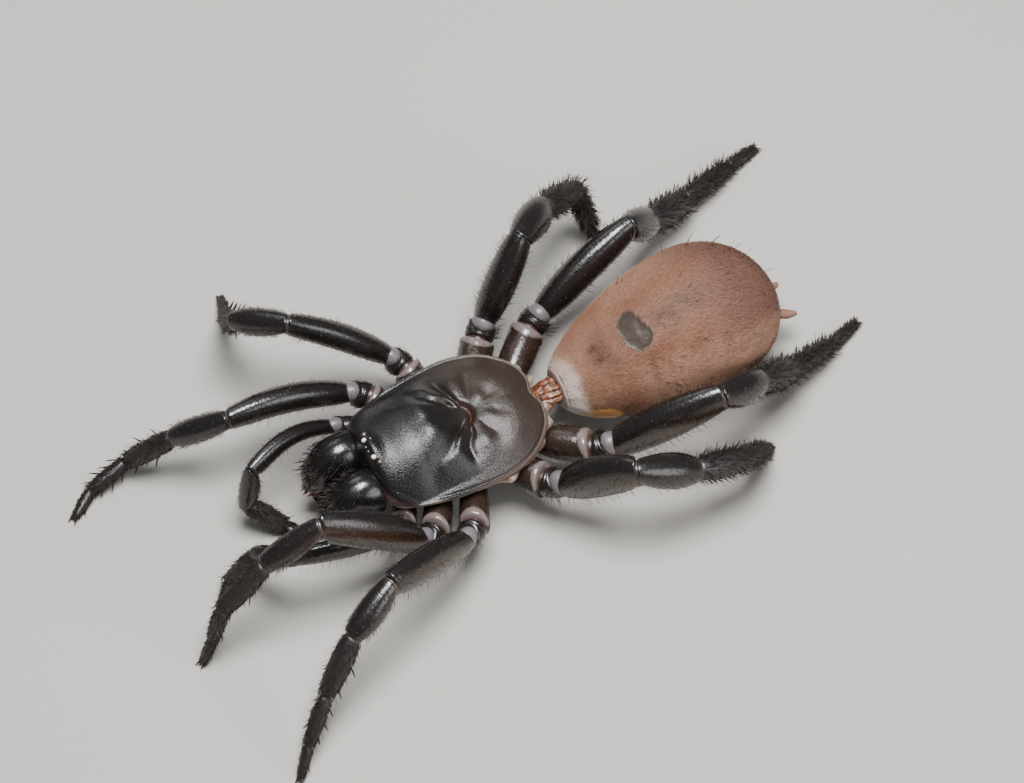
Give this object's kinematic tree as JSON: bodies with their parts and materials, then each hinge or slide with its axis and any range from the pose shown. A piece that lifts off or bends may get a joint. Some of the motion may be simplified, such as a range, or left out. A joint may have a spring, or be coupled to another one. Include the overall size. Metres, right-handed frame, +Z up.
{
  "type": "trapdoor spider",
  "caption": "Life-size still model of a trapdoor spider walking on a flat floor, with an arched glossy carapace, stout legs and a velvety egg-shaped abdomen.",
  "frame": {"origin": "on the floor, below the middle of the whole spider's box", "axes": "+Y the way the spider heads, +X its right side, +Z up from the floor it stands on"},
  "size_m": [0.0266, 0.041, 0.0083],
  "materials": {
    "carapace": "glossy near-black shell",
    "chelicerae": "glossy black",
    "fangs": "glossy dark red-black",
    "legs": "glossy dark brown-black",
    "leg_hair": "matt, densely haired",
    "coxae": "satin brown",
    "pedicel": "soft wrinkled skin",
    "abdomen": "velvety mauve-brown skin"
  },
  "bodies": {
    "root": {"carapace": "carapace", "sternum": "coxae", "chelicera_left": "chelicerae", "fang_left": "fangs", "chelicera_right": "chelicerae", "fang_right": "fangs", "pedicel": "pedicel", "abdomen": "abdomen", "spinneret_left": "abdomen", "spinneret_right": "abdomen", "palp_right_coxa": "coxae", "palp_right_femur": "legs", "palp_right_patella": "legs", "palp_right_tarsus": "leg_hair", "palp_left_coxa": "coxae", "palp_left_femur": "legs", "palp_left_patella": "legs", "palp_left_tarsus": "leg_hair", "leg_1_right_coxa": "coxae", "leg_1_right_femur": "legs", "leg_1_right_patella": "legs", "leg_1_right_tibia": "leg_hair", "leg_1_right_foot": "leg_hair", "leg_1_left_coxa": "coxae", "leg_1_left_femur": "legs", "leg_1_left_patella": "legs", "leg_1_left_tibia": "leg_hair", "leg_1_left_foot": "leg_hair", "leg_2_right_coxa": "coxae", "leg_2_right_femur": "legs", "leg_2_right_patella": "legs", "leg_2_right_tibia": "leg_hair", "leg_2_right_foot": "leg_hair", "leg_2_left_coxa": "coxae", "leg_2_left_femur": "legs", "leg_2_left_patella": "legs", "leg_2_left_tibia": "leg_hair", "leg_2_left_foot": "leg_hair", "leg_3_right_coxa": "coxae", "leg_3_right_femur": "legs", "leg_3_right_patella": "legs", "leg_3_right_tibia": "leg_hair", "leg_3_right_foot": "leg_hair", "leg_3_left_coxa": "coxae", "leg_3_left_femur": "legs", "leg_3_left_patella": "legs", "leg_3_left_tibia": "leg_hair", "leg_3_left_foot": "leg_hair", "leg_4_right_coxa": "coxae", "leg_4_right_femur": "legs", "leg_4_right_patella": "legs", "leg_4_right_tibia": "leg_hair", "leg_4_right_foot": "leg_hair", "leg_4_left_coxa": "coxae", "leg_4_left_femur": "legs", "leg_4_left_patella": "legs", "leg_4_left_tibia": "leg_hair", "leg_4_left_foot": "leg_hair"}
  },
  "joints": []
}
